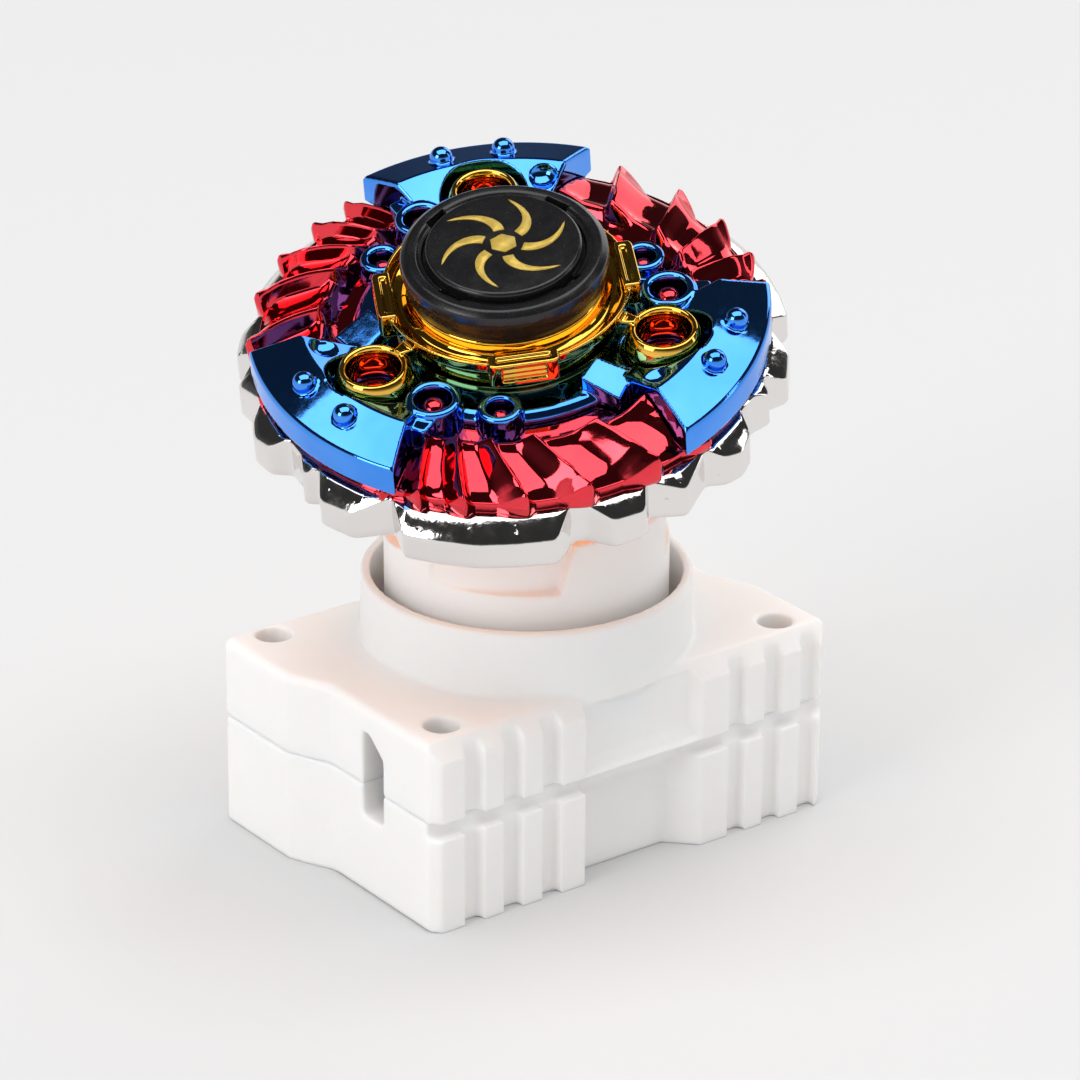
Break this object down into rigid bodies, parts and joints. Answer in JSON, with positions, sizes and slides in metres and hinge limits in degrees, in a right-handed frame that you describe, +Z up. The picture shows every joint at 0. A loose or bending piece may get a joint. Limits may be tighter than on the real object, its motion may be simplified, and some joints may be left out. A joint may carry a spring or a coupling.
{
  "type": "light up spinning top",
  "caption": "Three-layer spinning top with a lit base and toothed metal ring, leaning in the rotor of its rip-cord launcher.",
  "frame": {"origin": "on the resting plane under the rotor's axis", "axes": "+Z up along the rotor's axis, +X along the launcher's long side, +Y away from the rip-cord slot's side"},
  "size_m": [0.0561, 0.053, 0.0675],
  "materials": {
    "white_plastic": "satin moulded",
    "silver_chrome": "bright plated",
    "red_chrome": "bright tinted plating",
    "blue_chrome": "bright tinted plating",
    "gold_chrome": "bright tinted plating",
    "black_rubber": "satin",
    "black_plastic": "matte moulded",
    "gold_print": "printed",
    "amber_plastic": "translucent",
    "board_green": "solder mask",
    "led_lens": "clear lens",
    "brass_contact": "satin",
    "cell_steel": "satin",
    "steel": "satin",
    "tip_plastic": "polished"
  },
  "bodies": {
    "launcher": {"upper_shell": "white_plastic", "lower_shell": "white_plastic", "case_screws": "steel", "axle_pin": "steel", "thrust_washer": "steel"},
    "rotor": {"rotor_hub": "white_plastic", "drive_pinion": "white_plastic"},
    "tip_carrier": {"tip_shaft": "steel", "tip": "tip_plastic"},
    "top_wheel": {"metal_ring": "silver_chrome", "blade_ring": "red_chrome", "lobe_cover": "blue_chrome", "gold_core": "gold_chrome", "cap_ring": "black_rubber", "face_disc": "black_plastic", "face_inlay": "gold_print", "frame_plate": "black_plastic", "body_screws": "steel", "light_body": "amber_plastic", "circuit_board": "board_green", "leds": "led_lens", "motion_switch": "steel", "cell_contacts": "brass_contact", "button_cells": "cell_steel", "cell_sleeve": "black_plastic", "base_cover": "black_plastic", "tip_bush": "brass_contact"}
  },
  "joints": [
    {"name": "rotor_spin", "type": "hinge", "parent": "launcher", "child": "rotor", "pos_m": [0, 0, 0.02], "axis": [0, 0, 1], "continuous": true},
    {"name": "top_lift", "type": "slide", "parent": "rotor", "child": "tip_carrier", "axis": [-0.2461, -0.2303, 0.9415], "range_m": [0, 0.03]},
    {"name": "top_spin", "type": "hinge", "parent": "tip_carrier", "child": "top_wheel", "pos_m": [-0.00595, -0.00469, 0.05743], "axis": [-0.2461, -0.2303, 0.9415], "continuous": true}
  ]
}
